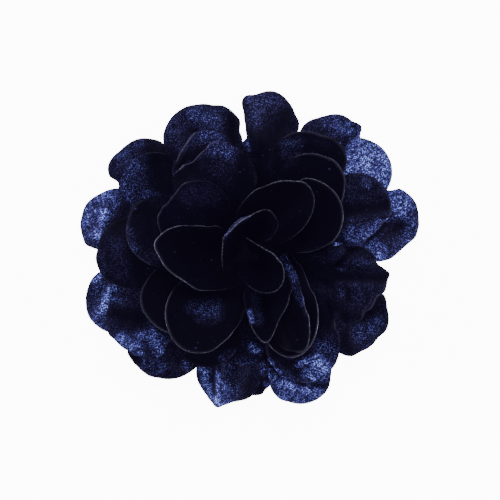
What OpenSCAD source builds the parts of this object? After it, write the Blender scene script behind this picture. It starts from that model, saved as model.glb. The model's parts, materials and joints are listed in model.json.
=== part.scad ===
// Fabric flower corsage: rings of round satin petals sewn to a felt disc, with a bar pin on its back.
// It lies on its back: +Z is the way that the flower faces, +Y is the top of the flower as worn.

/* [Flower] */
// Width across the outermost petals
flower_w = 108; // [96:1:120]
// Height of the heart petals above the felt disc, as a share of the modelled height
loft = 1; // [0.95:0.01:1.05]
// Thickness of a petal's cloth
cloth_t = 1; // [1:0.05:1.1]

/* [Back] */
// Diameter of the felt disc that the petals are sewn to
disc_d = 47; // [46:1:52]
// Thickness of the felt disc
disc_t = 1.6; // [1.2:0.1:2]
// Length of the bar pin
pin_l = 30; // [26:1:34]
// Width of the bar pin's plate
pin_w = 5; // [4.5:0.5:6]
// Clear height between the plate and the needle
pin_gap = 4.4; // [4.2:0.1:4.6]
// Diameter of the needle
needle_d = 1; // [0.9:0.1:1.2]

/* [Hidden] */
// Gap between two pieces that lie against each other
gap = 0.1;
// Cells of a petal's grid, from its foot to its edge and round its edge
CELLS_UP = 5;
CELLS_ROUND = 12;

// Columns of the petal tables. X and Y are the middle of the petal's blade, HALF_L and HALF_W its half
// length and half width, and HEADING the way that its tip points, all seen from the front. ARC_R and ARC_L
// are how far its free edge runs round each side. TIP_Z and SIDE_Z are the heights of the free edge above
// the felt disc at the tip and at the sides. CREST is how far the blade domes up (or hollows, below 0),
// ROLL how far it swells out past its free edge, and TILT how much its left side stands above its right.
// TAPER narrows the tip's half of the blade and widens the other.
X = 0;
Y = 1;
HALF_L = 2;
HALF_W = 3;
HEADING = 4;
ARC_R = 5;
ARC_L = 6;
TIP_Z = 7;
SIDE_Z = 8;
CREST = 9;
ROLL = 10;
TILT = 11;
TAPER = 12;

HEART = [
    [-1.8,   2.4, 13.2,  6.2,   50,  64, 188,  29, 30,  0, 0.8,  0,  0],
    [ 2.8,  -4.9,  9.9,  7.0,  -52, 104, 170,  27, 28,  0, 0.6,  2,  0],
];
BUD = [
    [ 5.6, -17.0, 12.5,  7.4,  -93, 102, 110,  23, 24, -1, 0,    0,  0.35],
    [-16.0, -2.2, 15.0, 10.6,  166, 110, 146,  23, 24, -2, 0,    0,  0],
    [ 7.6,  11.5, 14.3,  9.8,   36, 112, 145,  24, 25, -2, 0,    0,  0],
];
INNER = [
    [13.0, -16.5, 16.4,  4.6,  -78,  60, 160,  21, 22,  0, 0.8,  0, -0.4],
    [16.7,  10.7, 13.0, 12.3,    5, 110,  88,  21, 21, -1, 0,    0,  0],
    [-17.2, 10.2, 12.4, 12.3,  147, 120,  80,  18, 18,  1, 0,   -3,  0],
    [-14.3,-20.4, 12.9, 12.9, -125, 125, 125,  19, 18, -1, 0,    0,  0],
];
MIDDLE = [
    [11.9, -19.6, 14.7,  9.8,  -82,  55, 140,  16, 18, -1, 0,    0,  0],
    [18.9,  19.6, 11.2, 11.2,   45, 105, 100,  17, 17,  0, 0,    0,  0],
    [-10.5, 21.5, 13.0, 12.9,  112, 110, 105,  13, 13,  4, 0.8,  2,  0],
    [-28.1,  6.1, 11.4, 11.4,  168, 100, 105,  14, 13,  1, 0,    2,  0],
    [-23.0,-15.2, 11.5, 11.5, -146, 100, 105,  13, 12,  0, 0,    2,  0],
];
COLLAR = [
    [33.6,  13.5, 11.5, 11.0,   20, 105, 100,   5,  6,  5, 0.4, -2,  0],
    [18.1,  26.7, 11.0, 12.1,   60, 100, 105,  10, 11,  2, 0,    0,  0],
    [-13.5, 26.7, 11.5, 11.5,  115, 105, 105,   8,  7,  3, 0.4,  2,  0],
    [-30.4, 20.1, 11.1, 11.1,  147, 105, 100,   7,  6,  1, 0.4,  0,  0],
    [-37.7, -0.9, 11.0, 11.5, -176, 105, 105,   6,  4,  4, 0.4,  2,  0],
    [-34.8,-22.6, 11.2, 11.5, -147, 105, 105,   4,  4,  3, 0.4,  2,  0],
    [-13.5,-26.2, 11.3, 11.0, -115, 100, 105,   8,  7,  1, 0,  2.5,  0],
    [ -2.2,-27.0,  9.7,  9.0,  -95, 100, 100,   6,  5, 0.5, 0,   0,  0],
    [16.7, -29.9, 12.6, 11.9,  -61, 105, 105,   6,  9,  4, 0.4, -2,  0],
    [32.1, -11.5, 12.1, 12.5,  -18, 110, 105,   6,  7,  5, 0.4,-2.5, 0],
];
OUTER = [
    [43.0,   7.6, 10.8, 12.2,    8,  95, 100,  -8, -4,  6, 0, -2.4,  0],
    [33.6,  24.5, 11.6, 11.6,   36,  97, 105,  -3,  0,  4.5, 0,  2,  0],
    [25.5,  34.0,  9.8, 10.3,   55, 105, 105,  -5, -2,  5, 0,    3,  0],
    [ 6.2,  40.3, 10.3,  8.9,   84, 105, 100,  -8, -3,  7, 0,    1,  0],
    [-14.9, 34.8, 11.8, 12.1,  113, 105, 105,  -5, -2,  5, 0,    2,  0],
    [-34.8, 26.0, 10.5, 10.3,  143, 105, 105,  -5, -2,  5, 0,    2,  0],
    [-43.2,  9.8, 10.7, 10.2,  167, 105, 105,  -8, -4,  6, 0,    2,  0],
    [-42.0,-16.0, 10.3, 10.3, -159, 105, 105,  -8, -4,  6, 0,    2,  0],
    [-26.7,-29.9, 11.2, 12.0, -128, 105, 105,  -5, -2,  5, 0,    2,  0],
    [ -6.8,-39.5, 10.8, 10.5, -105, 105, 100,  -8, -3,  6, 0,  2.4,  0],
    [  1.3,-38.3,  8.3,  7.5,  -85,  95, 100,  -8, -5,  5.5, 0,  2,  0],
    [16.0, -38.7, 10.8, 10.4,  -68, 105, 105,  -7, -3,  4.5, 0, -2,  0],
    [33.6, -22.6, 11.2, 11.2,  -34, 105, 105,  -6, -2,  5, 0,   -2,  0],
];

// Columns of the ring table: the ring's name, its petals, how far out and how high above the felt their
// feet stand, a foot's width as a share of its blade's, how far a foot bows outward, the powers of the
// blade's rise and of its spread, and what share of the side's height the free edge keeps at its ends.
RING = 0;
ROWS = 1;
FOOT_R = 2;
FOOT_Z = 3;
FOOT_W = 4;
BOW = 5;
RISE = 6;
SPREAD = 7;
END = 8;
RINGS = [
    ["heart",  HEART,   2.6, 9.0, 0.22, 1.3, 1.2, 1.0, 0.85],
    ["bud",    BUD,     5.0, 6.5, 0.28, 0.8, 1.3, 1.1, 0.6],
    ["inner",  INNER,   8.0, 4.5, 0.28, 0.8, 1.4, 1.3, 0.5],
    ["middle", MIDDLE, 11.5, 3.0, 0.28, 0.8, 1.5, 1.4, 0.5],
    ["collar", COLLAR, 15.0, 1.5, 0.22, 0.8, 1.6, 1.4, 0.4],
    ["outer",  OUTER,  19.5, 0.6, 0.18, 0.5, 1.7, 1.4, 0.2],
];

// Columns of the fold table: the ring's name and the petal's number in it, how far round its edge the fold
// lies and how wide it is, in degrees, how far it pushes the edge out, and how far up the edge and the
// blade's middle.
FOLD_RING = 0;
FOLD_PETAL = 1;
AT = 2;
WIDE = 3;
OUT = 4;
EDGE_UP = 5;
MID_UP = 6;
FOLDS = [
    ["heart",   1, -75,  40, -1.0, -2,  0],
    ["heart",   1, -38,  50,  1.2,  0,  0],
    ["heart",   1,  42,  60, -1.2,  0,  0],
    ["heart",   1, 150, 120, -3.8,  0,  0],
    ["heart",   1, 192,  50, -0.4, -2,  0],
    ["heart",   2, 132,  80, -2.4,  0,  0],
    ["heart",   2, 175,  50,  2.2, -3,  0],
    ["bud",     1,  48,  80, -2.0,  0,  0],
    ["bud",     2, -85,  90, -1.2,  0,  0],
    ["bud",     2, 146,  50,  1.6,  0,  0],
    ["bud",     3, -112, 50, -1.0, -2,  0],
    ["inner",   1, -58,  80,  4.5, -5,  0],
    ["inner",   4,  65,  90, -1.6,  0,  0],
    ["middle",  3,  28,  50, -1.6, -1, -1],
    ["collar",  1,   8,  40, -0.3, -1, -1],
    ["collar", 10,   0,  50, -1.3,  1,  1],
    ["collar", 10,  33,  35,  0.6, -1, -1],
    ["collar", 10,  62,  40, -1.2,  1,  1],
    ["outer",   1, -60,  80, -1.7,  0,  0],
    ["outer",   3, -28,  40,  1.4,  1,  0],
    ["outer",   3,  48,  80, -1.4,  0,  0],
    ["outer",   4,  54,  36,  2.4,  1,  0],
    ["outer",   4, 100,  80, -1.4,  0,  0],
    ["outer",   6, -10,  80, -1.8,  0,  0],
    ["outer",   7,  52,  40,  1.2,  0,  0],
    ["outer",   7, -50,  70, -1.0,  0,  0],
    ["outer",  10, -40,  60, -0.9, -1,  0],
    ["outer",  10,  -3,  36,  0.9,  1,  1],
    ["outer",  10,  32,  60, -1.5, -1,  0],
    ["outer",  13,   5,  90, -1.0,  0,  0],
];

// Where the blade swells most, as the power of the share of its height, and over how many degrees behind
// its widest place the free edge falls away
swell_at = 2.4;
fall_over = 50;

// How many degrees round a side an edge runs before its foot closes to a tube
wraps = 165;

// Width that the petal tables are drawn for
modelled_w = 108;
spread_k = flower_w / modelled_w;

// Bar pin: thickness of its plate, length and width of its posts, how far they reach below the needle, how
// high the needle clears the surface under the flower, and how far the pin sits above the middle
plate_t = 0.8;
post_l = 3;
post_w = pin_w / 2;
post_below = 0.3;
needle_z = 0.9;
pin_up = 5;

// Heights of the plate, of the disc and of the felt's upper face
plate_z = needle_z + needle_d + pin_gap;
disc_z = plate_z + plate_t + gap;
felt_top = disc_z + disc_t;

function unit(v) = v / norm(v);
function mid(p) = [p[X], p[Y]];
function along(p) = [cos(p[HEADING]), sin(p[HEADING])];
function across(p) = [-sin(p[HEADING]), cos(p[HEADING])];
function petal_name(ring, i) = str(ring[RING], "_petal_", i + 1);
function folds_of(ring, i) = [for (f = FOLDS) if (f[FOLD_RING] == ring[RING] && f[FOLD_PETAL] == i + 1) f];

// A smooth bump of 1 at the middle of a fold, which ends half its width away
function swell(f, q) = abs(q - f[AT]) < f[WIDE] / 2 ? pow(cos(180 * (q - f[AT]) / f[WIDE]), 2) : 0;

// What all of a petal's folds add at q degrees round
function total(folds, q, column) =
    len(folds) == 0 ? 0 : [for (f = folds) swell(f, q) * f[column]] * [for (f = folds) 1];

// The free edge at q degrees round from the tip, seen from the front
function edge_xy(p, folds, q) =
    let (v = p[HALF_L] * cos(q) * along(p) + p[HALF_W] * sin(q) * (1 - p[TAPER] * cos(q)) * across(p))
    mid(p) + v + total(folds, q, OUT) * unit(v);

// The foot, a short gathered bow where the petal is sewn down, which closes to a small tube where the edge
// wraps right round
function foot_xy(ring, p, q) =
    let (arc = q < 0 ? p[ARC_R] : p[ARC_L],
         place = arc > wraps ? [cos(q), sin(q)] : [1 - pow(q / arc, 2), q / arc])
    ring[FOOT_R] * unit(mid(p)) + ring[BOW] * place[0] * along(p)
        + ring[FOOT_W] * p[HALF_W] * place[1] * across(p);

// The height of the free edge above the felt, which falls away behind the widest place
function edge_z(ring, p, folds, q) =
    let (behind = abs(q) < 90 ? 0 : min(1, (abs(q) - 90) / fall_over),
         side = p[SIDE_Z] * (1 - (1 - ring[END]) * pow(sin(90 * behind), 2)))
    (abs(q) < 90 ? p[TIP_Z] + (p[SIDE_Z] - p[TIP_Z]) * pow(sin(q), 2) : side)
        + p[TILT] * sin(q) + total(folds, q, EDGE_UP);

// A point of the petal's middle surface, u from its foot to its free edge. A tip that droops as far as the
// surface under the flower lies on it.
function petal_point(ring, p, folds, u, q) =
    let (foot = foot_xy(ring, p, q),
         edge = edge_xy(p, folds, q),
         reach = norm(edge - foot),
         full = norm(edge_xy(p, folds, 0) - foot_xy(ring, p, 0)),
         xy = foot + (edge - foot) * pow(u, ring[SPREAD])
            + unit(edge - foot) * p[ROLL] * sin(180 * pow(u, swell_at)),
         z = ring[FOOT_Z] + (edge_z(ring, p, folds, q) - ring[FOOT_Z]) * (1 - pow(1 - u, ring[RISE]))
            + (p[CREST] * min(1, reach / full) + total(folds, q, MID_UP)) * sin(180 * u))
    [xy[0] * spread_k, xy[1] * spread_k, max(cloth_t / 2, felt_top + gap + z * loft)];

// The grid of a petal's middle surface
function petal_grid(ring, i) =
    let (p = ring[ROWS][i],
         folds = folds_of(ring, i),
         step = (p[ARC_R] + p[ARC_L]) / CELLS_ROUND) [
        for (up = [0:CELLS_UP]) [
            for (j = [0:CELLS_ROUND]) petal_point(ring, p, folds, up / CELLS_UP, -p[ARC_R] + j * step)
        ]
    ];

// The way that the cloth faces at a place of the grid
function facing(g, i, j) =
    let (up = g[min(i + 1, CELLS_UP)][j] - g[max(i - 1, 0)][j],
         round = g[i][min(j + 1, CELLS_ROUND)] - g[i][max(j - 1, 0)])
    unit(cross(up, round));

// A closed wall of the cloth's thickness round a grid
module cloth(g) {
    row = CELLS_ROUND + 1;
    back = row * (CELLS_UP + 1);
    function at(i, j) = i * row + j;
    function wall(a, b) = [[a, b, b + back], [a, b + back, a + back]];
    points = [
        for (side = [0.5, -0.5]) for (i = [0:CELLS_UP]) for (j = [0:CELLS_ROUND])
            g[i][j] + side * cloth_t * facing(g, i, j)
    ];
    faces = [
        for (i = [0:CELLS_UP - 1]) for (j = [0:CELLS_ROUND - 1])
            let (a = at(i, j), b = at(i + 1, j), c = at(i + 1, j + 1), d = at(i, j + 1))
            each [[a, d, c], [a, c, b], [a + back, b + back, c + back], [a + back, c + back, d + back]],
        for (j = [0:CELLS_ROUND - 1])
            each concat(wall(at(CELLS_UP, j), at(CELLS_UP, j + 1)), wall(at(0, j + 1), at(0, j))),
        for (i = [0:CELLS_UP - 1])
            each concat(wall(at(i, 0), at(i + 1, 0)), wall(at(i + 1, CELLS_ROUND), at(i, CELLS_ROUND))),
    ];
    polyhedron(points, faces);
}

// One satin petal
module petal(ring, i) {
    color([0.05, 0.06, 0.2])
        cloth(petal_grid(ring, i));
}

// The round of felt under the flower
module felt_disc() {
    color([0.04, 0.04, 0.09])
        translate([0, 0, disc_z])
            cylinder(d = disc_d, h = disc_t, $fn = 96);
}

// The bar pin, one plain piece of bright metal: a plate, two posts and the needle between them
module bar_pin() {
    color([0.75, 0.76, 0.78])
        translate([0, pin_up, 0]) {
            translate([-pin_l / 2, -pin_w / 2, plate_z])
                cube([pin_l, pin_w, plate_t]);
            for (side = [-1, 1])
                translate([side * (pin_l - post_l) / 2 - post_l / 2, -post_w / 2, needle_z - post_below])
                    cube([post_l, post_w, plate_z - needle_z + post_below]);
            translate([-(pin_l - post_l) / 2, 0, needle_z + needle_d / 2])
                rotate([0, 90, 0])
                    cylinder(d = needle_d, h = pin_l - post_l, $fn = 32);
        }
}

felt_disc();
bar_pin();
for (ring = RINGS)
    for (i = [0:len(ring[ROWS]) - 1])
        petal(ring, i);
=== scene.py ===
# Navy satin flower corsage, put together in the order that the real one is sewn: bar pin, felt disc, then the
# rings of petals from the outside in, and last the thread that shows on its back.
import json
import math

import bmesh
import bpy
from mathutils import Matrix, Vector
from mathutils.kdtree import KDTree

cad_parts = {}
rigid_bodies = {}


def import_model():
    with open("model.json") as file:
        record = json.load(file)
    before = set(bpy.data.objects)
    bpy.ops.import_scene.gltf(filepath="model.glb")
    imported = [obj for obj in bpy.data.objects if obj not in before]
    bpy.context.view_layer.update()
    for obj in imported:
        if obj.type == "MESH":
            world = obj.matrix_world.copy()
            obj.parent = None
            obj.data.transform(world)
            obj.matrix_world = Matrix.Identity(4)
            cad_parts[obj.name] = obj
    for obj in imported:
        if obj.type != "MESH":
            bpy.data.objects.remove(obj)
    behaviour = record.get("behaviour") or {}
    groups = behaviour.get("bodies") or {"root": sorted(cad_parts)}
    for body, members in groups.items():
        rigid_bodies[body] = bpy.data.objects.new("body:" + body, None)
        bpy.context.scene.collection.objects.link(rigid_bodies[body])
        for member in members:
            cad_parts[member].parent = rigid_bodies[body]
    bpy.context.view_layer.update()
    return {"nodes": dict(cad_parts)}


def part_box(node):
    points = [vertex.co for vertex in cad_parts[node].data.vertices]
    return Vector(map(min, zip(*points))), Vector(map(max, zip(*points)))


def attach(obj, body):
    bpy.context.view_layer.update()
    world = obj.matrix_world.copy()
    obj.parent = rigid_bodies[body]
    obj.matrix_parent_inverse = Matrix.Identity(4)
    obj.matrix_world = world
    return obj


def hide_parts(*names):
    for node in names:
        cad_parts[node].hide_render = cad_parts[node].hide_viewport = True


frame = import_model()
MM = 0.001


# The studio: a plain pale floor under the flower and a camera straight above it. The key light stands beyond
# the top of the flower, with a low soft light on each side.
CAMERA_HEIGHT = 2.5
VIEW_WIDTH = 0.16
SENSOR_WIDTH = 36
CAMERA_REACH = 10
FLOOR_WIDTH = 3.0
FLOOR_GLOW = 11.0
SKY = 0.55


def select_only(thing):
    """Deselects everything else, and makes this the active object"""
    bpy.ops.object.select_all(action="DESELECT")
    thing.select_set(True)
    bpy.context.view_layer.objects.active = thing


bpy.ops.object.camera_add(location=(0, 0, CAMERA_HEIGHT), rotation=(0, 0, 0))
camera = bpy.context.object
camera.data.sensor_width = SENSOR_WIDTH
camera.data.lens = SENSOR_WIDTH * CAMERA_HEIGHT / VIEW_WIDTH
camera.data.clip_end = CAMERA_REACH
bpy.context.scene.camera = camera

bpy.ops.mesh.primitive_plane_add(size=FLOOR_WIDTH, location=(0, 0, 0))
floor = bpy.context.object
floor.name = "studio_floor"
paper = bpy.data.materials.new("pale paper")
paper.use_nodes = True
paper_shader = paper.node_tree.nodes["Principled BSDF"]
paper_shader.inputs["Base Color"].default_value = (0.85, 0.85, 0.85, 1)
paper_shader.inputs["Roughness"].default_value = 0.9
paper_shader.inputs["Emission Color"].default_value = (1, 1, 1, 1)
paper_shader.inputs["Emission Strength"].default_value = FLOOR_GLOW
floor.data.materials.append(paper)

# place, size and strength of each soft light, which faces the flower
LIGHTS = {
    "key": ((0.0, 0.8, 1.0), 0.6, 16),
    "left": ((-1.0, 0.1, 0.5), 0.4, 8),
    "right": ((1.0, 0.1, 0.5), 0.4, 7),
}
for name, (place, size, power) in LIGHTS.items():
    bpy.ops.object.light_add(type="AREA", location=place)
    light = bpy.context.object
    light.name = name + "_light"
    light.data.size = size
    light.data.energy = power
    light.rotation_euler = (-Vector(place)).to_track_quat("-Z", "Y").to_euler()

world = bpy.data.worlds.new("studio")
world.use_nodes = True
world.node_tree.nodes["Background"].inputs["Color"].default_value = (1, 1, 1, 1)
world.node_tree.nodes["Background"].inputs["Strength"].default_value = SKY
bpy.context.scene.world = world


# Bar pin: one plain piece of nickel-plated steel, stamped and bent, with fine drawn lines along its plate.
# It lies under the felt, and the wearer's cloth goes between its plate and its needle.
DRAWN_LONG = 9 * MM
DRAWN_WIDE = 0.15 * MM
TARNISH = 6 * MM
NICKEL = (0.72, 0.71, 0.68)
NICKEL_DULL = (0.45, 0.42, 0.38)


class Shade:
    """One output in a material's node tree. Arithmetic on it adds Math nodes."""

    def __init__(self, tree, socket=None):
        self.tree = tree
        self.socket = socket

    def node(self, kind, settings, inputs, output=0):
        made = self.tree.nodes.new("ShaderNode" + kind)
        for name, value in settings.items():
            if name == "stops":
                stops = made.color_ramp.elements
                while len(stops) < len(value):
                    stops.new(1.0)
                for stop, (place, colour) in zip(stops, value):
                    stop.position = place
                    stop.color = (*colour, 1)
            else:
                setattr(made, name, value)
        for key, value in inputs.items():
            if isinstance(value, Shade):
                self.tree.links.new(value.socket, made.inputs[key])
            else:
                made.inputs[key].default_value = value
        return Shade(self.tree, made.outputs[output])

    def maths(self, operation, a, b=0.0):
        return self.node("Math", {"operation": operation}, {0: a, 1: b})

    def __add__(self, other):
        return self.maths("ADD", self, other)

    def __sub__(self, other):
        return self.maths("SUBTRACT", self, other)

    def __rsub__(self, other):
        return self.maths("SUBTRACT", other, self)

    def __mul__(self, other):
        return self.maths("MULTIPLY", self, other)

    __radd__ = __add__
    __rmul__ = __mul__

    def step(self, low, high):
        """0 below low, 1 above high, and smooth between"""
        settings = {"interpolation_type": "SMOOTHSTEP"}
        return self.node("MapRange", settings, {"Value": self, "From Min": low, "From Max": high})

    def tone(self, *stops):
        """The colour at this value, between stops of place and colour"""
        return self.node("ValToRGB", {"stops": stops}, {"Fac": self})


def new_finish(name):
    """A material with an empty Principled shader: the material, a start for its nodes, and the shader"""
    material = bpy.data.materials.new(name)
    material.use_nodes = True
    shader = material.node_tree.nodes["Principled BSDF"]
    return material, Shade(material.node_tree), shader


def feed(start, shader, **inputs):
    """Links each value to the shader's socket of that name, with _ for a space"""
    for name, value in inputs.items():
        start.tree.links.new(value.socket, shader.inputs[name.replace("_", " ")])


def noise(place, size, detail=2.0):
    """A pattern of soft patches of about this size"""
    return place.node("TexNoise", {}, {"Vector": place, "Scale": 1 / size, "Detail": detail})


nickel, start, shader = new_finish("nickel plate")
place = start.node("TexCoord", {}, {}, "Object")
drawn = start.node("Mapping", {}, {"Vector": place,
                                   "Scale": (1 / DRAWN_LONG, 1 / DRAWN_WIDE, 1 / DRAWN_WIDE)})
lines = noise(drawn, 1.0, 3.0)
dull = noise(place, TARNISH, 3.0).step(0.45, 0.75)
feed(start, shader,
     Base_Color=(dull * 0.8 + lines * 0.2).tone((0.0, NICKEL), (1.0, NICKEL_DULL)),
     Roughness=0.2 + dull * 0.2 + lines * 0.08,
     Normal=start.node("Bump", {}, {"Strength": 0.25, "Distance": 0.02 * MM, "Height": lines}))
shader.inputs["Metallic"].default_value = 1.0
pin = frame["nodes"]["bar_pin"]
for part in range(len(pin.material_slots)):
    pin.material_slots[part].material = nickel


# Felt disc: a round of pressed wool, die-cut, with a soft rolled edge and a matt hairy face. The petals are
# sewn down on its front, and it hides their ends from behind.
FELT_EDGE = 0.45 * MM
FELT_SIDES = 96
FELT_RINGS = 6
HAIR = 0.35 * MM
PRESSED = 4 * MM
SHARP = math.radians(50)
FELT_DARK = (0.0002, 0.00015, 0.0006)
FELT_PALE = (0.0012, 0.0011, 0.0030)
# faint glow of the dark cloths, painted light that lifts their shadows
PAINTED_GLOW = (0.0031, 0.0021, 0.0070)


def apply_modifier(piece, kind, **settings):
    select_only(piece)
    modifier = piece.modifiers.new(kind.lower(), kind)
    for name, value in settings.items():
        setattr(modifier, name, value)
    bpy.ops.object.modifier_apply(modifier=modifier.name)


def settle(piece):
    """Moves a piece's place into its mesh"""
    select_only(piece)
    bpy.ops.object.transform_apply(location=True, rotation=True, scale=True)


def glow_faintly(shader, gloss):
    """Gives a dark cloth its small gloss, and a faint even glow, painted light that lifts its shadows"""
    shader.inputs["Specular IOR Level"].default_value = gloss
    shader.inputs["Emission Color"].default_value = (*PAINTED_GLOW, 1)
    shader.inputs["Emission Strength"].default_value = 1.0


def crumple(piece, size, depth):
    """Presses soft waves of this size and depth into the cloth, in millimetres"""
    waves = bpy.data.textures.new("waves", "CLOUDS")
    waves.noise_scale = size * MM
    waves.noise_depth = 2
    apply_modifier(piece, "DISPLACE", texture=waves, texture_coords="GLOBAL", strength=depth * MM,
                   mid_level=0.5)


felt_low, felt_high = (Vector(corner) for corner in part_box("felt_disc"))
felt_middle = (felt_low + felt_high) / 2
felt_radius = (felt_high.x - felt_low.x) / 2
felt_thick = felt_high.z - felt_low.z
bpy.ops.mesh.primitive_cylinder_add(vertices=FELT_SIDES, radius=felt_radius, depth=felt_thick,
                                    location=felt_middle)
felt_piece = bpy.context.object
felt_piece.name = "felt_backing"
settle(felt_piece)
bpy.ops.object.mode_set(mode="EDIT")
bpy.ops.mesh.select_mode(type="FACE")
bpy.ops.mesh.select_all(action="DESELECT")
mesh = bmesh.from_edit_mesh(felt_piece.data)
for face in mesh.faces:
    face.select = abs(face.normal.z) > 0.5
for ring in range(FELT_RINGS):
    bpy.ops.mesh.inset(thickness=felt_radius / (FELT_RINGS + 1.5))
bpy.ops.object.mode_set(mode="OBJECT")
apply_modifier(felt_piece, "BEVEL", width=FELT_EDGE, segments=3, limit_method="ANGLE", angle_limit=SHARP)
apply_modifier(felt_piece, "SUBSURF", levels=1, render_levels=1)
crumple(felt_piece, 5, 0.12)
crumple(felt_piece, 0.9, 0.12)
select_only(felt_piece)
bpy.ops.object.shade_smooth()
felt, start, shader = new_finish("dark felt")
place = start.node("TexCoord", {}, {}, "Object")
hair = start.node("TexNoise", {}, {"Vector": place, "Scale": 1 / HAIR, "Detail": 4.0, "Roughness": 0.7,
                                   "Distortion": 1.5})
pressed = noise(place, PRESSED, 3.0)
feed(start, shader,
     Base_Color=(hair * 0.6 + pressed * 0.4).tone((0.35, FELT_DARK), (0.7, FELT_PALE)),
     Normal=start.node("Bump", {}, {"Strength": 0.8, "Distance": 0.12 * MM, "Height": hair}))
shader.inputs["Roughness"].default_value = 0.95
glow_faintly(shader, 0.02)
felt_piece.data.materials.append(felt)
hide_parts("felt_disc")
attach(felt_piece, "root")


# Outer petals: thirteen discs of navy satin, cut with a hot knife, gathered at the foot and sewn round the
# rim of the felt, where they droop to the surface. Their sheen is painted light: painted highlight with
# painted glints along the long weft threads, and painted shadow under their neighbours' edges.
CLOTH = 0.3 * MM
WALL = 1.0 * MM
WALL_SLACK = 4e-7
SAME_POINT = 1e-6
LEVELS = 3
WEFT_LONG = 0.50 * MM
WEFT_WIDE = 0.38 * MM
# the bands of a wave lie 0.31 of this apart, so the lines of the twill 0.65 mm
TWILL = 2.07 * MM
SPARK = 0.34 * MM
FLECK = 1.1 * MM
LINT = 0.9 * MM
CLOUD = 6 * MM
MELT = 0.8 * MM
DRIFT = 7 * MM
SATIN_GLOSS = 0.006
# the most painted light that a point of the satin can hold
PAINTED_LIGHT_MOST = 1.5
# the satin's tones: its own navy where no light is painted, then indigo, blue and silver as painted sheen
NAVY = (0.0007, 0.0005, 0.0020)
INDIGO = (0.020, 0.0175, 0.066)
BLUE = (0.075, 0.088, 0.36)
SILVER = (0.26, 0.33, 0.92)
# colours of the melted cut edge and of the satin beside it; how bright they are is partly a painted rim
# highlight and shade
BEAD_DARK = (0.001, 0.0008, 0.0025)
BEAD_RIM_LIGHT = (0.098, 0.091, 0.140)
SEARED_RIM_LIGHT = (0.027, 0.025, 0.044)


def weave_satin():
    """The satin, whose painted-light attribute paints highlight and shadow into its colour: as painted glints
    of the weft along the twill where it is bright, and as single painted sparks where it is dim. With it
    comes the melted thread along its cut edge, whose brightness from another attribute is partly a painted
    rim highlight."""
    material, start, shader = new_finish("navy satin")
    cut = start.node("UVMap", {"uv_map": "cut"}, {})
    place = start.node("TexCoord", {}, {}, "Object")
    lustre = start.node("Attribute", {"attribute_name": "lustre"}, {}, "Fac")
    weft = start.node("Mapping", {}, {"Vector": cut, "Scale": (1 / WEFT_LONG, 1 / WEFT_WIDE, 1)})
    thread = start.node("TexNoise", {"noise_dimensions": "2D"}, {"Vector": weft, "Scale": 1.0, "Detail": 0.5})
    twill = start.node("TexWave", {"bands_direction": "X"}, {"Vector": cut, "Scale": 1 / TWILL,
                                                             "Distortion": 0.8, "Detail": 1.0})
    glint = thread.step(0.46, 0.64)
    spark = noise(place, SPARK, 0.0).step(0.57, 0.67)
    mottle = (noise(place, FLECK).step(0.38, 0.60) - 0.5) * lustre.step(0.02, 0.30)
    cloud = noise(place, CLOUD).step(0.35, 0.65)
    dim = 1.0 - lustre.step(0.15, 0.45)
    weave = 0.02 + (glint * 1.6 + twill * 0.45) * (1.0 - dim * 0.74) + spark * dim * 3.0
    # painted sheen: the painted light, broken by the weave into painted glints and painted sparks
    painted_sheen = lustre * (0.55 + cloud * 0.45) * (0.68 + mottle * 0.75) * weave
    lint = noise(place, LINT, 0.0).step(0.80, 0.88)
    cloth = (painted_sheen + lint * 0.10).tone((0.0, NAVY), (0.14, INDIGO), (0.5, BLUE), (1.0, SILVER))
    # the cut edge's brightness, partly melted thread and partly painted rim highlight and shade, also
    # lightens the satin beside it
    bright = start.node("Attribute", {"attribute_name": "bead"}, {}, "Fac")
    seared_rim_light = bright.tone((0.0, (0, 0, 0)), (1.0, SEARED_RIM_LIGHT))
    colour = start.node("VectorMath", {"operation": "ADD"}, {0: cloth, 1: seared_rim_light})
    relief = thread * 0.6 + twill * 0.4
    bump = start.node("Bump", {}, {"Strength": 0.4, "Distance": 0.05 * MM, "Height": relief})
    feed(start, shader, Base_Color=colour, Roughness=0.6 - lustre * 0.15, Normal=bump)
    glow_faintly(shader, SATIN_GLOSS)
    bead, start, shader = new_finish("heat-cut edge with painted rim light")
    place = start.node("TexCoord", {}, {}, "Object")
    bright = start.node("Attribute", {"attribute_name": "bead"}, {}, "Fac")
    melt = noise(place, MELT, 1.0).step(0.4, 0.62)
    drift = noise(place, DRIFT, 1.0).step(0.35, 0.65)
    # melt and drift vary the melted thread; the painted brightness makes it pale as a rim highlight, or dark
    # where shade falls
    glow = bright * (0.3 + melt * 0.7) * (0.5 + drift * 0.5)
    feed(start, shader, Base_Color=glow.tone((0.0, BEAD_DARK), (1.0, BEAD_RIM_LIGHT)))
    shader.inputs["Roughness"].default_value = 0.6
    glow_faintly(shader, SATIN_GLOSS)
    return material, bead


def slanting_edges(mesh):
    """The edges that halve the cells of a grid. In a corner cell's triangle two edges are open and the third
    slants, and each triangle's edges run the same ways as its neighbour's."""
    corner = next(f for f in mesh.faces if sum(e.is_boundary for e in f.edges) == 2)
    slant = next(e for e in corner.edges if not e.is_boundary)
    others = [e for e in corner.edges if e is not slant]
    kinds = {slant: "slant", others[0]: "one way", others[1]: "other way"}
    waiting = [corner]
    seen = {corner}
    while waiting:
        face = waiting.pop()
        for edge in face.edges:
            for beyond in edge.link_faces:
                if beyond in seen:
                    continue
                seen.add(beyond)
                waiting.append(beyond)
                p, q = edge.verts
                for far in beyond.edges:
                    if far is edge:
                        continue
                    turned = q if p in far.verts else p
                    match = next(e for e in face.edges if e is not edge and turned in e.verts)
                    kinds[far] = kinds[match]
    return [edge for edge, kind in kinds.items() if kind == "slant"]


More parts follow.
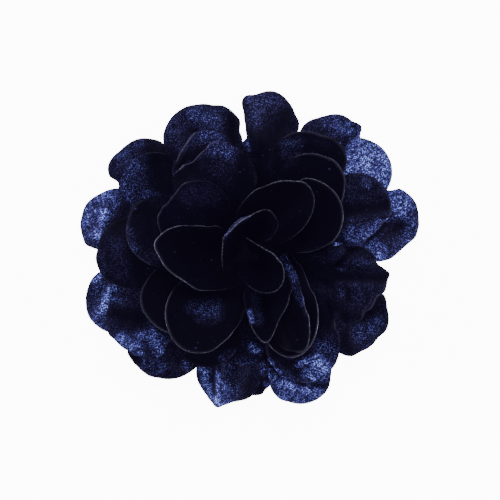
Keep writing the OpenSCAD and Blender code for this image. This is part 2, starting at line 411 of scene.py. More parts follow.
def petal_grid(node):
    """The middle of the solid petal's wall, as a grid of quads"""
    piece = bpy.data.objects.new(node + "_satin", frame["nodes"][node].data.copy())
    piece.data.materials.clear()
    bpy.context.scene.collection.objects.link(piece)
    select_only(piece)
    bpy.ops.object.mode_set(mode="EDIT")
    bpy.ops.mesh.select_mode(type="FACE")
    bpy.ops.mesh.select_all(action="SELECT")
    bpy.ops.mesh.remove_doubles(threshold=SAME_POINT)
    bpy.ops.mesh.select_all(action="DESELECT")
    mesh = bmesh.from_edit_mesh(piece.data)
    for face in mesh.faces:
        face.select = any(abs(edge.calc_length() - WALL) < WALL_SLACK for edge in face.edges)
    bpy.ops.mesh.delete(type="FACE")
    mesh = bmesh.from_edit_mesh(piece.data)
    max(mesh.faces, key=lambda face: face.calc_area()).select = True
    bpy.ops.mesh.select_linked()
    up = sum(face.normal.z * face.calc_area() for face in mesh.faces if face.select)
    if up > 0:
        bpy.ops.mesh.select_all(action="INVERT")
    bpy.ops.mesh.delete(type="VERT")
    bpy.ops.mesh.select_all(action="SELECT")
    bpy.ops.transform.shrink_fatten(value=-WALL / 2)
    bpy.ops.mesh.select_all(action="DESELECT")
    mesh = bmesh.from_edit_mesh(piece.data)
    bmesh.ops.dissolve_edges(mesh, edges=slanting_edges(mesh))
    bmesh.update_edit_mesh(piece.data)
    bpy.ops.object.mode_set(mode="OBJECT")
    return piece


def lay_out(piece, grain):
    """Unwraps the cloth flat as it was cut, in metres, and turns its twill to this angle, in degrees and seen
    from the front"""
    select_only(piece)
    bpy.ops.object.mode_set(mode="EDIT")
    bpy.ops.mesh.select_all(action="SELECT")
    bpy.ops.uv.unwrap(method="ANGLE_BASED", margin=0.0)
    bpy.ops.object.mode_set(mode="OBJECT")
    layer = piece.data.uv_layers.active
    layer.name = "cut"
    places = [piece.data.vertices[loop.vertex_index].co.xy for loop in piece.data.loops]
    flats = [corner.uv.copy() for corner in layer.data]
    middle = sum(places, Vector((0, 0))) / len(places)
    flat_middle = sum(flats, Vector((0, 0))) / len(flats)
    places = [place - middle for place in places]
    flats = [flat - flat_middle for flat in flats]
    turn = math.atan2(sum(a.cross(b) for a, b in zip(flats, places)),
                      sum(a.dot(b) for a, b in zip(flats, places))) - math.radians(grain)
    flat_area = 0.0
    for face in piece.data.polygons:
        corners = [flats[i] for i in face.loop_indices]
        flat_area += abs(sum(a.cross(b) for a, b in zip(corners, corners[1:] + corners[:1]))) / 2
    size = math.sqrt(sum(face.area for face in piece.data.polygons) / flat_area)
    spin = Matrix.Rotation(turn, 2)
    for corner, flat in zip(layer.data, flats):
        corner.uv = spin @ flat * size


def bump_of(share):
    """1 at share 0, 0 from share 1 on, and smooth between"""
    return (1 - min(share, 1) ** 2) ** 2


def nearness(point, start, end, width):
    """1 on a line seen from the front, 0 from its width on, all in millimetres"""
    a = Vector(start) * MM
    run = Vector(end) * MM - a
    along = (point.xy - a).dot(run) / max(run.length_squared, 1e-12)
    near = a + run * min(max(along, 0), 1)
    return bump_of((point.xy - near).length / (width * MM))


def crease(piece, start, end, width, up):
    """Raises a ridge along a line, or sinks a valley where up is below 0"""
    for vertex in piece.data.vertices:
        vertex.co.z += up * MM * nearness(vertex.co, start, end, width)


def pull(piece, start, end, width, move):
    """Pulls the cloth along a line, by move (x, y and z in millimetres)"""
    for vertex in piece.data.vertices:
        vertex.co += Vector(move) * MM * nearness(vertex.co, start, end, width)


def curl(piece, start, end, width, depth, move):
    """Rolls the free edge over along a line, by move (x, y and z in millimetres). The cloth more than depth
    away from the edge stays."""
    mesh = bmesh.new()
    mesh.from_mesh(piece.data)
    rim = [vertex.co.copy() for vertex in mesh.verts if vertex.is_boundary]
    mesh.free()
    tree = KDTree(len(rim))
    for number, place in enumerate(rim):
        tree.insert(place, number)
    tree.balance()
    for vertex in piece.data.vertices:
        share = nearness(vertex.co, start, end, width)
        if share > 0:
            reach = tree.find(vertex.co)[2] / (depth * MM)
            vertex.co += Vector(move) * MM * share * (1 - min(reach, 1)) ** 2


def brushed(point, total, strokes):
    """A value at a point, after the strokes that add to it and then those that hold it back"""
    for start, end, width, strength in strokes:
        total += max(strength, 0) * nearness(point, start, end, width)
    for start, end, width, strength in strokes:
        total *= 1 + min(strength, 0) * nearness(point, start, end, width)
    return total


def paint(piece, level, strokes, bead, rims):
    """Writes the painted light and shade. The painted highlight grows from the foot to the free edge. Each
    stroke is start, end, width and strength, and adds that much painted highlight, or keeps back that share
    as painted shadow where its strength is below 0. The same goes for the cut edge's painted brightness and
    its rims, a rim highlight or shade, but the edge is painted dark near the foot, where shade falls."""
    mesh = bmesh.new()
    mesh.from_mesh(piece.data)
    cut = [vertex.is_boundary for vertex in mesh.verts]
    mesh.free()
    lustre = piece.data.attributes.new("lustre", "FLOAT", "POINT")
    edge = piece.data.attributes.new("bead", "FLOAT", "POINT")
    reaches = [vertex.co.xy.length for vertex in piece.data.vertices]
    low, high = min(reaches), max(reaches)
    heights = [vertex.co.z for vertex in piece.data.vertices]
    bottom, top = min(heights), max(heights)
    for vertex, painted_sheen, rim, on_cut in zip(piece.data.vertices, lustre.data, edge.data, cut):
        out = (vertex.co.xy.length - low) / (high - low)
        painted_sheen.value = min(brushed(vertex.co, level * out ** 0.8, strokes), PAINTED_LIGHT_MOST)
        up = (vertex.co.z - bottom) / (top - bottom)
        free = min(max(out * 4 - 1.2, up * 5 - 3.5, 0), 1)
        rim.value = brushed(vertex.co, bead * free, rims) * on_cut


def sew(piece, node):
    """Gives a shaped petal the cloth's thickness and finish, and fastens it to the felt"""
    for finish in satin:
        piece.data.materials.append(finish)
    apply_modifier(piece, "SOLIDIFY", thickness=CLOTH, offset=0, material_offset_rim=1)
    select_only(piece)
    bpy.ops.object.shade_smooth_by_angle(angle=SHARP)
    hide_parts(node)
    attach(piece, "root")


def make_ring(ring, table, waves, creases={}, pulls={}, curls={}, strokes={}, rims={}):
    """A ring of petals, one for each row of the table. Waves are pairs of size and depth. The rest lists, by
    the petal's number, the lines that crease, pull, curl and paint take: the strokes paint highlight and
    shadow on the satin, and the rims paint highlight and shade on its cut edge."""
    for number, (level, bead, grain) in enumerate(table, 1):
        node = f"{ring}_petal_{number}"
        petal = petal_grid(node)
        lay_out(petal, grain)
        apply_modifier(petal, "SUBSURF", levels=LEVELS, render_levels=LEVELS)
        for size, depth in waves:
            crumple(petal, size, depth)
        for line in creases.get(number, []):
            crease(petal, *line)
        for line in pulls.get(number, []):
            pull(petal, *line)
        for line in curls.get(number, []):
            curl(petal, *line)
        paint(petal, level, strokes.get(number, []), bead, rims.get(number, []))
        sew(petal, node)


satin = weave_satin()
# the size of each flat disc follows from the area that its petal has when finished
make_ring("outer", [
    # painted highlight, brightness of the cut edge with its painted rim light, angle of the grain
    (0.24, 0.10, 40), (0.60, 0.10, 75), (0.14, 0.10, 20), (0.05, 0.10, 45), (0.09, 0.10, 45),
    (0.04, 0.10, 10), (0.30, 0.10, 60), (0.19, 0.10, 15), (0.05, 0.10, 80), (0.12, 0.10, 50),
    (0.01, 0.10, 30), (0.42, 0.10, 0), (0.07, 0.10, 60),
], waves=[(9, 1.1), (2.6, 0.3)], creases={
    1: [((44, 9), (49, 5), 4.5, -1.2)],
    3: [((34.5, 36), (35.5, 40.5), 1.6, 0.8), ((30, 35), (33, 39), 2.0, -0.7)],
    4: [((12, 48), (7, 36), 4.0, -0.8), ((2, 47), (3, 36), 4, 0.4)],
    5: [((-18.5, 39.5), (-17.5, 37.5), 2.6, -1.2)],
    7: [((-45.5, 18), (-47.5, 5), 2.2, 0.9), ((-50.5, 13), (-50, 6), 2.2, -0.5)],
    8: [((-44, -11), (-48, -21), 2.2, 1.0), ((-51, -15), (-50, -19), 2.5, -0.5)],
    9: [((-24, -36), (-18, -38), 2.0, 0.7)],
    10: [((-10.3, -37), (-10.4, -50.5), 1.4, 0.9), ((-12.6, -37), (-11.8, -46), 1.6, -0.6)],
    12: [((8, -42), (22, -45), 2.2, 0.8), ((12, -46), (22, -47.5), 2.0, -0.5)],
    13: [((38, -20), (43, -16), 3.0, -0.8)],
}, pulls={
    1: [((48, 19), (52, 14), 5, (1.3, 1.05, 0)), ((44.5, 19.5), (45.5, 19.5), 2.2, (0.3, -0.6, 0)),
        ((53.5, 10), (53.5, 9), 4, (0.5, 0, 0)), ((51, 1), (45, -4), 5, (-0.5, 0.8, 0))],
    2: [((43, 33), (44.5, 24), 6, (0.4, 0.2, 0))],
    3: [((35.2, 40), (35.2, 40), 3, (0.9, 0.6, 0.4)), ((35.5, 36), (35.5, 36), 2.5, (-0.6, 0.8, 0)),
        ((25, 44), (30, 43), 5, (0, 0.4, 0))],
    4: [((-1.5, 49), (-1.5, 47), 3.5, (-1.0, 0.6, 0)), ((15, 40), (15.5, 37), 3, (0.8, 0, 0)),
        ((4, 51), (9, 51), 4, (0, 0.5, 0)), ((-0.2, 33.5), (0.5, 30), 2.6, (-2.2, 0, 0)),
        ((12, 46), (13, 44), 3, (-0.4, -0.2, 0))],
    5: [((-24, 43.5), (-27, 37), 7, (-1.1, 0.3, 0)), ((-20, 46), (-20, 46), 4, (-0.2, 0.4, 0)),
        ((-9, 45.8), (-4.5, 41), 3.4, (1.1, 0.9, 0)), ((-3.5, 35), (-2.5, 30), 3, (0.9, 0, 0)),
        ((-3.2, 32), (-3.2, 31), 2.6, (1.2, 0, 0)), ((-15, 47), (-15, 47), 6, (0, 0.3, 0))],
    6: [((-37, 34.5), (-35, 35.2), 4, (0, -0.5, 0)), ((-29, 34.5), (-27, 33.5), 3, (0.4, 0.4, 0)),
        ((-42.5, 21.5), (-42.5, 21.5), 3, (2.2, 0.8, 0)), ((-45, 26), (-45, 26), 4, (-0.4, 0, 0))],
    7: [((-53, 7), (-52.5, 1), 5, (-0.8, -0.2, 0)), ((-51.5, 1), (-47, 0), 3.5, (-0.6, -0.6, 0))],
    8: [((-51.5, -10), (-52, -18), 6, (-0.5, 0, 0)), ((-49.5, -21), (-46, -25), 5, (-0.4, -0.5, 0)),
        ((-50, -9), (-48, -7), 4, (-0.1, 0.7, 0))],
    9: [((-39, -33.5), (-38, -34.5), 3.5, (-2.3, 0.7, 0)), ((-36, -36.5), (-32, -39), 4, (-0.5, -0.5, 0)),
        ((-17, -38), (-17, -38), 2.5, (0.6, 0.2, 0))],
    10: [((-10.4, -50), (-10.4, -50), 2.2, (-0.2, -0.3, 0.2)), ((-15, -44), (-12, -48.5), 3, (0.1, 0, 0)),
         ((-8.2, -50), (-6, -49.5), 2.5, (0, 0.4, 0)), ((5, -45.5), (5, -45.5), 2.4, (-0.3, 0.8, 0))],
    11: [((5.4, -45.3), (6.3, -44.4), 1.8, (-0.2, 0.9, 0))],
    12: [((6, -45.5), (9, -48), 4, (-0.7, -0.5, 0)), ((25.5, -41), (25.5, -38), 4, (-0.4, 0, 0)),
         ((25, -43), (24, -45), 2.5, (0.2, 0, 0))],
    13: [((41, -30), (37, -32.5), 5, (-0.6, 1.0, 0)), ((29, -33), (31, -33.5), 4, (0, -0.5, 0)),
         ((43.5, -24), (43.5, -24), 4, (0.2, 0, 0)), ((42, -16), (42.3, -16.5), 3, (0.5, 1.5, 0))],
}, strokes={
    1: [((45, 17), (48, 14), 6, 0.3), ((48, 16), (49.5, 15), 3, 0.25), ((38.5, 1), (41, -2), 4.2, 0.4),
        ((44.8, 5.5), (48, 8), 4.6, -0.92), ((36.5, 2.2), (43.5, 8.2), 1.6, -0.95),
        ((27.3, 1.9), (28.8, 2.5), 1.3, 0.8), ((52, 11), (54, 12.5), 1.2, -0.6),
        ((50, 6), (50, 1), 3, 0.1)],
    2: [((33, 27), (36, 31), 8, 0.2), ((29.2, 31.4), (30.6, 35.8), 3.2, -0.95)],
    3: [((26, 40), (30, 37), 5, 0.16), ((18, 38), (25, 37.5), 3, -0.6), ((30, 35.5), (32, 36), 2, -0.7),
        ((27, 33.5), (31, 34), 3.2, -0.95)],
    4: [((1, 48), (2.5, 41), 4, 0.11), ((11.5, 43), (8, 35), 4, -0.9), ((3.5, 42), (4, 39), 2, -0.5),
        ((5, 48), (9, 47.5), 3.5, 0.08), ((4, 35), (8, 31), 5, -0.9), ((2.5, 31), (2, 24), 3.5, -0.95),
        ((-1.5, 34.5), (-0.3, 32), 1.1, 0.3)],
    5: [((-24, 39), (-23, 33), 4, 0.02), ((-18, 43), (-12, 41.5), 4.5, 0.10),
        ((-18.5, 38.3), (-17.6, 37.8), 1.8, -0.85), ((-20.8, 34.5), (-19.8, 38), 1.8, -0.7),
        ((-25.5, 32), (-24, 29), 3.5, -0.8), ((-6.2, 42), (-6, 34), 4.0, -0.93)],
    6: [((-43, 27), (-38, 31), 4, 0.05), ((-42, 30.5), (-35, 34), 2.2, 0.12),
        ((-31, 32), (-26, 31), 4, -0.8)],
    7: [((-46.5, 12.5), (-47.8, 4), 2.0, 0.45), ((-49.5, 11), (-48, 9), 1.6, -0.3),
        ((-40, 14), (-41, 9), 3.8, -0.95), ((-52, 2.5), (-48, 1.5), 2.6, -0.6),
        ((-46.5, 6.5), (-43, 9.5), 2.2, -0.85), ((-52, 12), (-52, 9), 2.2, 0.2),
        ((-46, 17.5), (-41.5, 18.5), 2.2, 0.15)],
    8: [((-43.5, -11.5), (-47.5, -20), 2.2, 0.6), ((-51, -14), (-50, -17), 2.8, -0.5),
        ((-49.5, -9.5), (-48, -8.5), 1.8, 0.4), ((-46.3, -9), (-45, -10.5), 1.8, -0.6),
        ((-44.5, -12.5), (-43.5, -13), 1.5, 0.5)],
    9: [((-38.5, -33.5), (-36, -34.5), 2.6, -0.7), ((-33, -35.5), (-29, -37.5), 4, 0.17),
        ((-20.5, -36), (-19.5, -37.5), 2, 0.25)],
    10: [((-6, -41), (-3, -42), 3, -0.5), ((-10.0, -39), (-10.2, -49), 1.3, 0.4),
         ((-11.8, -38), (-11.2, -46), 0.9, -0.8), ((-15, -38), (-12.5, -47), 2.0, 0.6),
         ((-8, -43), (-7, -48), 3, 0.25), ((-10.3, -48), (-9, -49.5), 2, 0.5),
         ((-3, -40), (-4, -45), 3, 0.05), ((-1.8, -38), (-1.8, -39), 1.6, -0.6),
         ((-13, -38.5), (-13, -40), 2, 0.15), ((-6, -37.5), (-7, -40), 2.5, 0.15),
         ((0, -41), (-1, -47), 3.5, -0.8)],
    11: [((4, -36.5), (4.5, -39), 1.8, 0.3), ((5, -42.8), (5.8, -43.3), 1.3, 0.25)],
    12: [((7, -40), (13, -43), 2.6, 0.45), ((20, -43.4), (25.5, -42.8), 2.0, -0.9),
         ((5, -35), (10, -41), 1.0, -0.9), ((12.5, -41), (17, -42.8), 2.2, -0.92),
         ((18, -44.5), (21, -45.5), 2.2, 0.45), ((8, -46.5), (14, -47.5), 2, 0.12),
         ((24, -44), (24.5, -46.5), 2, -0.5)],
    13: [((35, -27), (40, -24), 4.5, 0.12), ((36.5, -21), (41, -15.5), 2.8, -0.92),
         ((30, -27), (32, -32), 3.5, -0.8)],
})


# Collar petals: ten more discs of the same satin, sewn inside the outer ones and half covering them. They
# stand up a little and are creased where their neighbours press on them. Painted shade lies along those
# creases and under the neighbours' edges, and painted highlight on the lit parts.
make_ring("collar", [
    # painted highlight, brightness of the cut edge with its painted rim light, angle of the grain
    (0.06, 0.20, 70), (0.01, 0.30, 80), (0.09, 0.10, 45), (0.14, 0.02, 20), (0.02, 0.12, 45),
    (0.09, 0.12, 80), (0.01, 0.12, 80), (0.10, 0.12, 45), (0.14, 0.00, 70), (0.05, 0.22, 30),
], waves=[(9, 1.1), (2.6, 0.3)], creases={
    1: [((31, 12.8), (45, 14), 3.4, -0.7), ((37, 5), (43, 10.5), 1.8, 0.5)],
    3: [((-17.5, 38), (-24, 27), 1.6, 0.6)],
    4: [((-30, 28), (-28, 18), 4.2, -1.8)],
    6: [((-46, -20), (-34, -22.5), 4.0, -0.7)],
    9: [((14, -38), (18, -39.5), 3.0, -1.4), ((14, -36.5), (20, -33.5), 1.4, 0.8)],
    10: [((27, -8), (44, -8.4), 3.4, -0.8), ((31.6, -15), (31.8, -13.5), 2.2, -0.8),
         ((27.3, -4.8), (32.5, 1.2), 1.2, -1.2), ((30, -2), (38, -2), 4, 0.5)],
}, pulls={
    1: [((39, 3.8), (43, 7.5), 4, (-0.8, 0.7, 0)), ((31.5, 2.4), (36, 2.4), 2.6, (0, -0.9, 0))],
    2: [((26.5, 34.5), (29.5, 29), 5, (1.4, 0.7, 0))],
    3: [((-22.5, 33.6), (-24, 30), 4.5, (1.3, -0.9, 0)), ((-20, 36), (-20, 36), 3, (0.6, -0.4, 0))],
    5: [((-47.5, -3), (-46, -10), 4, (-0.8, -0.2, 0))],
    6: [((-43, -29.5), (-39.5, -32), 3.5, (0.5, 0.7, 0)), ((-31, -33.6), (-28, -32), 2.5, (0.5, -1.3, 0))],
    9: [((25, -20), (25, -20), 5.5, (1.6, 2.6, 0)), ((22, -17), (22, -17), 4, (0, 2.5, 0)),
        ((21, -15), (26, -22), 4.5, (0, 0, 2.2)), ((20.5, -16.5), (22.8, -16.8), 3, (0.2, 3.0, 1.5))],
    10: [((43.5, -12), (43.8, -10), 2.5, (-0.3, 0, 0)), ((44, -7.6), (44, -7.6), 2.5, (0.7, 0.3, 0)),
         ((40, -4), (40.8, -5.2), 1.6, (-0.6, -0.5, 0)), ((25, 0.5), (28, 1.5), 3.5, (-0.5, 1.8, 0)),
         ((31.2, 0.9), (31.2, 0.9), 2.2, (0, -1.2, 0)), ((35, 0.8), (39, -2), 3.5, (0.3, 0.7, 0)),
         ((42, -17), (39.5, -21), 4.5, (-1.9, 1.3, 0)), ((23, -19.5), (26.5, -22.5), 5, (1.1, 1.5, -2.2)),
         ((37, -22), (35, -23), 4, (-0.6, 0.8, 0))],
}, strokes={
    1: [((31, 20), (34, 22), 3.5, 0.02), ((36.5, 21.5), (37.5, 20.5), 1.6, 0.25),
        ((31.5, 9), (37, 9.4), 1.4, 0.06), ((31, 12.5), (43, 13.8), 3.2, -0.9),
        ((31.5, 4.5), (37, 4.5), 4.8, 0.3), ((38, 7), (40.5, 8.5), 2.2, 0.2),
        ((29.4, 3), (30.2, 14), 2.0, -0.7), ((44, 9.5), (44.6, 9), 1.2, 0.5)],
    2: [((10.8, 33.4), (15.5, 34.4), 2.6, 0.09), ((10.8, 30.5), (15, 31), 2.4, 0.06),
        ((20, 36.6), (28, 34.6), 2.0, -0.8), ((22, 35), (24, 34), 3, 0.03),
        ((20, 32), (27.5, 30), 4.5, -0.85), ((5.5, 34), (5.5, 24), 3, -0.9)],
    3: [((-13, 36.5), (-11, 35), 5, 0.12), ((-23, 28), (-14, 31), 4.5, -0.93),
        ((-5.5, 36), (-4, 32), 4, -0.95)],
    4: [((-39, 24), (-38.5, 17), 4, 0.07), ((-30, 28.5), (-27.5, 20), 6.5, -0.97),
        ((-26, 29), (-25, 20), 4.5, -0.95), ((-33, 17.5), (-29.5, 18), 2.8, 0.2),
        ((-40.5, 10), (-39.5, 14), 3.4, -0.93)],
    5: [((-43, 1), (-41, -6), 5, 0.04), ((-47.5, -1), (-46.5, -7), 2, 0.1),
        ((-43, 8), (-38, 11), 4.0, -0.93), ((-36, -5), (-34.5, -8), 3.5, -0.8)],
    6: [((-45, -14), (-42, -16), 3.0, 0.12), ((-43, -20), (-35, -22), 4.5, -0.93),
        ((-37, -16), (-36, -24), 3, -0.6), ((-41, -24), (-37, -24.5), 2, -0.6),
        ((-41, -28), (-38, -30.5), 2.6, 0.65), ((-36, -26.5), (-35, -27.5), 1.6, 0.4),
        ((-31.2, -27), (-28.8, -31.5), 3.4, 0.4), ((-29.5, -31), (-28, -34.5), 1.8, 0.4),
        ((-36, -30), (-35, -33), 2.0, 0.3)],
    7: [((-8.5, -34), (-5, -33), 2.6, 0.12)],
    8: [((0.5, -31), (2.5, -32), 2.0, 0.8), ((-6, -36), (2, -37), 2.5, 0.12)],
    9: [((21.5, -36.8), (24, -37.8), 3.8, 0.65), ((18, -38.8), (20.5, -41), 2.4, 0.5),
        ((17.5, -35.2), (22, -33), 1.0, 0.4), ((22, -30), (23, -31), 3, 0.06),
        ((6.5, -31.5), (12, -36), 3, -0.92), ((21, -21), (22.5, -26), 3.5, -0.85),
        ((13.8, -37.3), (17.5, -35.4), 1.1, 0.8), ((14, -35), (19, -32.3), 1.8, -0.8),
        ((12.6, -36.5), (14.5, -38.5), 2.6, -0.85), ((20, -13), (25, -22), 6, -0.85),
        ((6.2, -35.5), (7.2, -36.3), 1.2, 0.7), ((8.3, -38.3), (9.2, -38.8), 1.1, 0.6),
        ((25, -18), (28, -29), 3.2, -0.75)],
    10: [((25, -8.8), (44, -9), 2.8, -0.9), ((28.4, -10.8), (28.9, -14), 1.8, 0.08),
         ((33, -11.5), (35, -15), 2.8, 0.06), ((31.2, -16), (31.2, -13), 1.6, -0.9),
         ((27.5, -4.8), (31.2, -0.6), 1.3, -0.95), ((31.2, -0.6), (34.5, 0.7), 1.1, -0.95),
         ((34.5, 0.8), (37.5, 0.3), 1.1, -0.9), ((37.5, 0.3), (39.6, -3), 1.0, -0.8),
         ((31.5, -4), (37, -4), 3.0, 0.05), ((19, -4), (28, -1.5), 3, 0.08),
         ((28.5, -5.8), (30, -6), 1.6, 0.12), ((31, -21), (35, -21), 4, -0.7)],
}, rims={
    2: [((11, 36), (24, 37), 3.0, 0.3), ((5, 32), (9, 35), 3, -0.9)],
    3: [((-18, 37), (-23, 30), 3.0, 0.9), ((-24.5, 28.5), (-25, 26), 2.5, -0.6),
        ((-15, 38), (-4, 33), 4, -1.0)],
    9: [((20, -13), (28.5, -28), 3.0, 0.5), ((10, -42), (25, -42), 5, -1.0)],
    10: [((42.5, -13), (38, -20.5), 3.0, 0.5), ((28, -4), (33, 1), 2.5, 0.2)],
})


# Middle petals: five larger cups that stand half upright round the bud. Their inner faces turn away from the
# light and stay dark, and the melted edge draws a fine pale line round each, partly a painted rim highlight.
make_ring("middle", [
    # painted highlight, brightness of the cut edge with its painted rim light, angle of the grain
    (0.00, 1.10, 80), (0.00, 0.45, 80), (0.04, 0.05, 20), (0.02, 0.35, 45), (0.00, 0.50, 80),
], waves=[(14, 0.8)], creases={
    3: [((-22, 23), (-17, 27), 2.6, -0.9)],
}, pulls={
    1: [((13.5, -7), (16.5, -9), 8, (-1.2, 5.0, 0)), ((14, -3), (14.5, -3.5), 4, (-0.6, 1.8, 0)),
        ((18, -5), (20, -11), 4, (-0.8, -0.2, 0)), ((15.2, -1.6), (15.9, -3), 2, (-1.0, -0.7, 0))],
    2: [((26.5, 27), (28.5, 23), 5, (0.6, 0.4, 0))],
    3: [((-17, 31.8), (-19, 30), 4.0, (1.2, -1.2, 0)), ((-14.8, 33.5), (-14.8, 33.5), 3, (0.9, -0.4, 0)),
        ((-23.6, 22.5), (-23.2, 20), 4.5, (-1.5, 0, 0))],
    4: [((-37.5, 14), (-36, 15), 4, (-0.4, 0.3, 0))],
    5: [((-34.5, -14), (-34, -18), 5, (-0.5, 0, 0))],
}, strokes={
    2: [((10, 27), (14, 28.5), 3.0, 0.03)],
    3: [((-11, 32), (-6, 31), 4.5, 0.13), ((-10, 26), (-8, 22), 3, 0.03), ((-23, 22), (-18, 25), 4, -0.95),
        ((-2, 30), (-2, 22), 4.5, -0.95)],
    4: [((-38.5, 7), (-37, 0), 2.2, 0.06), ((-36.5, 0), (-31, -3), 3.5, 0.05),
        ((-36, 14), (-31, 12), 4, -0.9), ((-32.5, 9), (-31.5, 6), 2.5, -0.8)],
}, rims={
    1: [((13.5, -1.5), (18.5, -9.5), 3, 0.9), ((18.5, -10), (21.5, -22), 4, 0.3),
        ((5, -30), (10.5, -34.5), 4, -0.7)],
    2: [((26, 27), (29, 18), 4, 0.2), ((9, 24), (13.2, 28.7), 3.4, -1.0)],
    3: [((-13, 33), (-21.5, 27), 4, 1.1), ((-24.3, 25), (-25, 21), 3, -0.6)],
    4: [((-33, 17.5), (-28, 17), 3.5, -0.9)],
    5: [((-34, -12), (-34, -19), 4, 0.15)],
})


# Inner petals: four upright cups, one of them rolled long and narrow, whose outer wall leans over and shows
# as a band of painted highlight under its edge.
make_ring("inner", [
    # painted highlight, brightness of the cut edge with its painted rim light, angle of the grain
    (0.00, 0.50, 45), (0.00, 0.55, 80), (0.02, 0.40, 80), (0.00, 0.50, 90),
], waves=[(14, 0.8)], pulls={
    1: [((11, -2), (16.5, -12), 5, (1.2, 0.5, 0)), ((17.5, -15), (18.3, -17.5), 4.5, (0.4, 0.1, 0)),
        ((11, -3), (12.5, -5), 4.5, (1.1, 1.2, 0)), ((19.2, -24), (19, -28), 5, (-0.4, 0, 0)),
        ((13.6, -2), (14.1, -4.5), 2.6, (-0.8, -0.2, 0)), ((14.8, -8.5), (16.5, -14), 3.5, (0.6, 0.1, 0))],
    2: [((24, 0), (14, -1.5), 4, (0, 0.6, 0))],
    3: [((-27.3, 17), (-25, 18.5), 4, (0.9, -0.9, 0)), ((-20, 21.5), (-17, 22), 4, (0.2, -0.6, 0)),
        ((-28.8, 13.5), (-23.5, 20.5), 3.6, (0.7, -0.7, 0))],
    4: [((-24, -29), (-21, -32), 5, (-0.3, -0.3, 0)), ((-6, -28), (-4, -26), 8, (-0.8, 0.6, 0)),
        ((-4, -26), (-2, -21.5), 4, (-0.6, 0.3, 0))],
}, curls={
    1: [((11, -2), (16.5, -12), 5.0, 3.0, (-1.9, -1.0, -0.5)),
        ((17.5, -15), (18.3, -17.5), 4.5, 3.0, (-1.2, -0.3, -0.2))],
}, strokes={
    1: [((9.8, -1.2), (12.2, -4.8), 2.6, 0.5), ((12.2, -5), (14, -8), 2.4, 0.2),
        ((13.6, -9.5), (17, -16.5), 2.3, 0.16), ((17.3, -16), (18.2, -20), 1.8, 0.08)],
    3: [((-20, 17), (-12, 17), 4.5, 0.05), ((-27, 8), (-24, 2), 5, -0.9)],
    4: [((-18, -18), (-11, -17.2), 3.8, 0.13), ((-15, -19.2), (-10.8, -20.2), 4.0, 0.12),
        ((-16, -22), (-12, -22.5), 2.6, 0.04)],
}, rims={
    1: [((8, -27), (13, -32.5), 3, -0.9)],
    2: [((17, 0), (24, 2), 4, -0.7)],
    3: [((-29.5, 6), (-22, 20), 5, 0.1), ((-16, 22), (-6, 16), 6, -1.0)],
    4: [((-26, -15), (-27, -25), 4, 0.2), ((-20, -33), (-10, -33), 5, -0.5),
        ((-5.5, -26), (-2.5, -21), 3.5, 0.6)],
})


# Bud petals: three tall cups pressed round the heart, dark inside, with the brightest edges, which are partly
# a painted rim highlight.
make_ring("bud", [
    # painted highlight, brightness of the cut edge with its painted rim light, angle of the grain
    (0.00, 0.50, 45), (0.00, 0.60, 80), (0.00, 0.50, 80),
], waves=[(14, 0.8)], pulls={
    1: [((12.8, -15.5), (11.5, -20), 6, (-0.9, 0.1, 0)), ((11.2, -11.2), (12, -12.2), 2.5, (1.2, 0.6, 0)),
        ((11.8, -10.2), (12.8, -10.8), 2.0, (-0.2, 2.2, 0))],
    2: [((-14, 7), (-12, 7), 5, (0, 0.5, 0)), ((-9.5, 6.8), (-8, 5.8), 4.5, (0, 1.2, 0)),
        ((-28.5, -4), (-23, -10), 8, (1.3, 1.3, 0)), ((-30.5, 2), (-30.5, 2), 4, (-0.3, 0, 0))],
    3: [((5, 22), (13, 22.7), 5, (0, -0.9, 0))],
}, strokes={
    1: [((-0.3, -19.5), (0.4, -22.4), 1.3, 0.45), ((1.8, -14.5), (2.8, -22.5), 2.3, 0.12)],
}, rims={
    1: [((13, -12), (8, -26), 4, -0.3), ((-2, -11), (-0.8, -21), 3, -0.9)],
    2: [((-20, 8), (-8, 6), 4, -0.6), ((-30, 3), (-20, -10), 5, 0.1)],
    3: [((12, 2), (18, 6), 4, -0.8), ((19, 18), (20, 12), 4, -0.5), ((4, 20.5), (14, 22.5), 3, -0.1)],
})


# Heart petals: two discs rolled into each other. The first leans over itself, so that a band of its outer
# face shows a painted highlight all along its rolled side.
make_ring("heart", [
    # painted highlight, brightness of the cut edge with its painted rim light, angle of the grain
    (0.00, 0.45, 45), (0.00, 0.35, 80),
], waves=[(14, 0.6)], pulls={
    1: [((-7.5, 5), (-3, 9.5), 4, (-0.5, 0.5, 0)), ((-8.4, 3), (-8.6, -1.5), 3, (-0.5, 0, 0)),
        ((8.4, 8), (7.2, 4.5), 3, (0.6, -0.2, 0))],
    2: [((6.3, 0.3), (8.7, -1.7), 3.5, (-0.3, -0.8, 0))],
}, curls={
    1: [((-6, 7.5), (-3, 9.8), 5.0, 2.0, (0.6, -0.9, -0.2))],
}, strokes={
    1: [((-8.5, 4), (-5.5, 8.5), 1.8, 0.12), ((-5.5, 8.5), (-0.8, 10.8), 1.8, 0.1)],
}, rims={
    1: [((-8, 4.5), (0, 11), 3.0, 0.5), ((8.5, 9), (7, 4), 3.5, -0.9), ((-8.6, -6), (-6, -8), 2.5, -0.85)],
    2: [((0, 3), (9.5, -3), 2.5, 0.5), ((-3.5, -6.5), (-2, -10), 3.5, -1.0),
        ((4, -14), (-2, -11), 4, -0.4)],
})


# Stitches: running stitches of waxed thread round the felt's back, which hold the rings of petals, and three
# turns of the same thread over each end of the bar pin's plate.
THREAD = 0.45 * MM
STITCH = 2.6 * MM
STITCHES = 30
SEAM = 0.84
PLATE = 0.8 * MM
TURNS_AT = 8.5 * MM
PLIES = 1.2 * MM
THREAD_DARK = (0.004, 0.004, 0.010)
THREAD_PALE = (0.020, 0.020, 0.040)


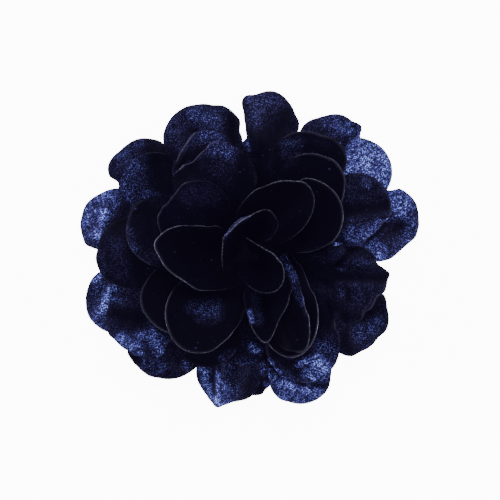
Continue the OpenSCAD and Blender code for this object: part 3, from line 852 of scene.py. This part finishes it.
def make_thread(name, points):
    """One visible length of thread that runs through these points"""
    curve = bpy.data.curves.new(name, "CURVE")
    curve.dimensions = "3D"
    curve.bevel_depth = THREAD / 2
    curve.bevel_resolution = 1
    curve.resolution_u = 3
    curve.use_fill_caps = True
    spline = curve.splines.new("BEZIER")
    spline.bezier_points.add(len(points) - 1)
    for knot, point in zip(spline.bezier_points, points):
        knot.co = point
        knot.handle_left_type = "AUTO"
        knot.handle_right_type = "AUTO"
    length = bpy.data.objects.new(name, curve)
    bpy.context.scene.collection.objects.link(length)
    select_only(length)
    bpy.ops.object.convert(target="MESH")
    length.data.materials.append(waxed)
    bpy.ops.object.shade_smooth()
    return length


waxed, start, shader = new_finish("waxed thread")
place = start.node("TexCoord", {}, {}, "Object")
plies = start.node("TexWave", {"bands_direction": "DIAGONAL"}, {"Vector": place, "Scale": 1 / PLIES,
                                                                "Distortion": 1.0})
feed(start, shader, Base_Color=plies.tone((0.2, THREAD_DARK), (0.9, THREAD_PALE)),
     Normal=start.node("Bump", {}, {"Strength": 0.6, "Distance": 0.06 * MM, "Height": plies}))
shader.inputs["Roughness"].default_value = 0.5
shader.inputs["Specular IOR Level"].default_value = 0.2

back = felt_low.z - THREAD * 0.2
seam_radius = felt_radius * SEAM
seam_middle = Vector((felt_middle.x, felt_middle.y, back))
lengths = []
for number in range(STITCHES):
    angle = 2 * math.pi * number / STITCHES
    middle = seam_middle + Vector((math.cos(angle), math.sin(angle), 0)) * seam_radius
    along = Vector((-math.sin(angle), math.cos(angle), 0)) * STITCH / 2
    down = Vector((0, 0, THREAD * 0.9))
    lengths.append(make_thread("back_stitch", [middle - along + down, middle, middle + along + down]))
plate_low, plate_high = (Vector(corner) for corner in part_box("bar_pin"))
for side in (-1, 1):
    for turn in (-1, 0, 1):
        x = side * TURNS_AT + turn * THREAD * 1.3
        low = plate_high.z - PLATE - THREAD * 0.5
        lengths.append(make_thread("plate_thread", [
            (x, plate_low.y - THREAD * 0.8, felt_low.z + THREAD * 0.5), (x, plate_low.y - THREAD * 0.45, low),
            (x + THREAD * 0.3, (plate_low.y + plate_high.y) / 2, low - THREAD * 0.1),
            (x + THREAD * 0.6, plate_high.y + THREAD * 0.45, low),
            (x + THREAD * 0.6, plate_high.y + THREAD * 0.8, felt_low.z + THREAD * 0.5)]))
bpy.ops.object.select_all(action="DESELECT")
for length in lengths:
    length.select_set(True)
bpy.context.view_layer.objects.active = lengths[0]
bpy.ops.object.join()
stitches = bpy.context.object
stitches.name = "back_stitches"
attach(stitches, "root")
